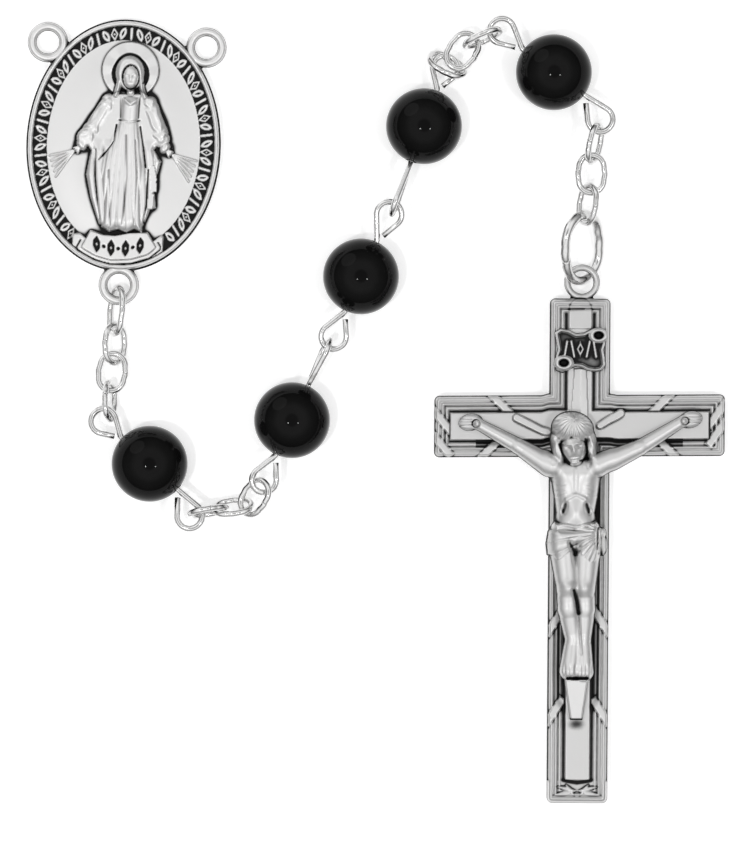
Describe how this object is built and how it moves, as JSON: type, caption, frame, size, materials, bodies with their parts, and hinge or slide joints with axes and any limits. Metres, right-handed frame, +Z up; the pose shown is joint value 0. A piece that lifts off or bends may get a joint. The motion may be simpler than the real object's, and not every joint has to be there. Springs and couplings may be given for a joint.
{
  "type": "rosary pendant section",
  "caption": "Rosary pendant section lying flat: oval centre medal, cable chain links, round black beads on eye pins, jump ring and crucifix, all hooked into one another.",
  "frame": {"origin": "centre of the whole part's bounding box, on the ground plane it lies on", "axes": "+Z up from the ground, towards the faces of the medal and crucifix; +Y along the crucifix towards its top, within half a degree; +X to the crucifix's side, away from the medal"},
  "size_m": [0.0555, 0.0625, 0.006],
  "materials": {
    "casting": "antiqued silver tone, polished high spots, darkened recesses",
    "wire": "polished",
    "onyx": "polished black"
  },
  "bodies": {
    "medal": {"medal": "casting"},
    "link_01": {"link_01": "wire"},
    "link_02": {"link_02": "wire"},
    "link_03": {"link_03": "wire"},
    "link_04": {"link_04": "wire"},
    "eye_pin_1": {"eye_pin_1": "wire"},
    "link_05": {"link_05": "wire"},
    "link_06": {"link_06": "wire"},
    "link_07": {"link_07": "wire"},
    "eye_pin_2": {"eye_pin_2": "wire"},
    "eye_pin_3": {"eye_pin_3": "wire"},
    "eye_pin_4": {"eye_pin_4": "wire"},
    "link_08": {"link_08": "wire"},
    "link_09": {"link_09": "wire"},
    "link_10": {"link_10": "wire"},
    "eye_pin_5": {"eye_pin_5": "wire"},
    "link_11": {"link_11": "wire"},
    "link_12": {"link_12": "wire"},
    "link_13": {"link_13": "wire"},
    "jump_ring": {"jump_ring": "wire"},
    "crucifix": {"cross_body": "casting", "corpus": "casting", "title_scroll": "casting"},
    "bead_1": {"bead_1": "onyx"},
    "bead_2": {"bead_2": "onyx"},
    "bead_3": {"bead_3": "onyx"},
    "bead_4": {"bead_4": "onyx"},
    "bead_5": {"bead_5": "onyx"}
  },
  "joints": [
    {"name": "link_01_to_medal", "type": "hinge", "parent": "medal", "child": "link_01", "pos_m": [-0.02059, 0.00872, 0.00116], "axis": [-0.8827, 0.0897, 0.4613], "range_deg": [-45, 45]},
    {"name": "link_02_to_link_01", "type": "hinge", "parent": "link_01", "child": "link_02", "pos_m": [-0.02075, 0.00572, 0.00105], "axis": [0.7022, 0.0253, 0.7115], "range_deg": [-45, 45]},
    {"name": "link_03_to_link_02", "type": "hinge", "parent": "link_02", "child": "link_03", "pos_m": [-0.02079, 0.00472, 0.00112], "axis": [-0.7022, -0.0253, -0.7115], "range_deg": [-45, 45]},
    {"name": "link_04_to_link_03", "type": "hinge", "parent": "link_03", "child": "link_04", "pos_m": [-0.02102, 0.00201, 0.00121], "axis": [0.3051, -0.5235, -0.7955], "range_deg": [-45, 45]},
    {"name": "eye_pin_1_to_link_04", "type": "hinge", "parent": "link_04", "child": "eye_pin_1", "pos_m": [-0.0211, -0.00006, 0.0025], "axis": [0.8594, -0.5059, 0.0744], "range_deg": [-28, 45]},
    {"name": "link_05_to_eye_pin_1", "type": "hinge", "parent": "eye_pin_1", "child": "link_05", "pos_m": [-0.01386, -0.00799, 0.00349], "axis": [0.4427, -0.8911, 0.1001], "range_deg": [-45, 45]},
    {"name": "link_06_to_link_05", "type": "hinge", "parent": "link_05", "child": "link_06", "pos_m": [-0.01186, -0.00778, 0.00282], "axis": [0.1061, -0.8639, -0.4924], "range_deg": [-45, 45]},
    {"name": "link_07_to_link_06", "type": "hinge", "parent": "link_06", "child": "link_07", "pos_m": [-0.0099, -0.00734, 0.00304], "axis": [-0.5265, 0.057, 0.8483], "range_deg": [-45, 45]},
    {"name": "eye_pin_2_to_link_07", "type": "hinge", "parent": "link_07", "child": "eye_pin_2", "pos_m": [-0.00935, -0.00656, 0.00333], "axis": [0.5265, -0.057, -0.8483], "range_deg": [-45, 45]},
    {"name": "eye_pin_3_to_eye_pin_2", "type": "hinge", "parent": "eye_pin_2", "child": "eye_pin_3", "pos_m": [-0.00411, 0.00513, 0.00259], "axis": [-0.6634, 0.7464, 0.0522], "range_deg": [-45, 45]},
    {"name": "eye_pin_4_to_eye_pin_3", "type": "hinge", "parent": "eye_pin_3", "child": "eye_pin_4", "pos_m": [0.0016, 0.0164, 0.00386], "axis": [0.94, -0.33, 0.0864], "range_deg": [-45, 45]},
    {"name": "link_08_to_eye_pin_4", "type": "hinge", "parent": "eye_pin_4", "child": "link_08", "pos_m": [0.00548, 0.02707, 0.00236], "axis": [-0.0446, -0.1227, -0.9914], "range_deg": [-45, 12]},
    {"name": "link_09_to_link_08", "type": "hinge", "parent": "link_08", "child": "link_09", "pos_m": [0.00655, 0.02803, 0.00281], "axis": [0.0307, 0.0743, 0.9968], "range_deg": [-12, 45]},
    {"name": "link_10_to_link_09", "type": "hinge", "parent": "link_09", "child": "link_10", "pos_m": [0.00731, 0.02929, 0.00265], "axis": [-0.5147, 0.2333, -0.825], "range_deg": [-45, 45]},
    {"name": "eye_pin_5_to_link_10", "type": "hinge", "parent": "link_10", "child": "eye_pin_5", "pos_m": [0.00899, 0.02993, 0.00295], "axis": [-0.0786, 0.9969, 0.0074], "range_deg": [-45, 45]},
    {"name": "link_11_to_eye_pin_5", "type": "hinge", "parent": "eye_pin_5", "child": "link_11", "pos_m": [0.01744, 0.02159, 0.00306], "axis": [-0.8866, 0.2062, -0.4139], "range_deg": [-45, 45]},
    {"name": "link_12_to_link_11", "type": "hinge", "parent": "link_11", "child": "link_12", "pos_m": [0.01704, 0.01963, 0.00296], "axis": [0.4139, -0.0453, -0.9092], "range_deg": [-32, 45]},
    {"name": "link_13_to_link_12", "type": "hinge", "parent": "link_12", "child": "link_13", "pos_m": [0.01685, 0.01677, 0.00277], "axis": [0.8062, -0.079, -0.5864], "range_deg": [-45, 45]},
    {"name": "jump_ring_to_link_13", "type": "hinge", "parent": "link_13", "child": "jump_ring", "pos_m": [0.0167, 0.01578, 0.0027], "axis": [0.8062, -0.079, -0.5864], "range_deg": [-45, 45]},
    {"name": "crucifix_to_jump_ring", "type": "hinge", "parent": "jump_ring", "child": "crucifix", "pos_m": [0.01636, 0.01011, 0.0015], "axis": [0, 0, -1], "range_deg": [-45, 28]},
    {"name": "bead_1_spin", "type": "hinge", "parent": "eye_pin_1", "child": "bead_1", "pos_m": [-0.01794, -0.00428, 0.00301], "axis": [0.7345, -0.673, 0.0872], "continuous": true},
    {"name": "bead_2_spin", "type": "hinge", "parent": "eye_pin_2", "child": "bead_2", "pos_m": [-0.00666, -0.00083, 0.00301], "axis": [0.4216, 0.9041, -0.0698], "continuous": true},
    {"name": "bead_3_spin", "type": "hinge", "parent": "eye_pin_3", "child": "bead_3", "pos_m": [-0.00119, 0.01056, 0.00301], "axis": [0.4137, 0.9077, 0.0698], "continuous": true},
    {"name": "bead_4_spin", "type": "hinge", "parent": "eye_pin_4", "child": "bead_4", "pos_m": [0.0038, 0.02246, 0.00301], "axis": [0.3391, 0.9317, -0.1305], "continuous": true},
    {"name": "bead_5_spin", "type": "hinge", "parent": "eye_pin_5", "child": "bead_5", "pos_m": [0.01409, 0.02674, 0.00301], "axis": [0.8038, -0.5948, 0.0087], "continuous": true}
  ]
}
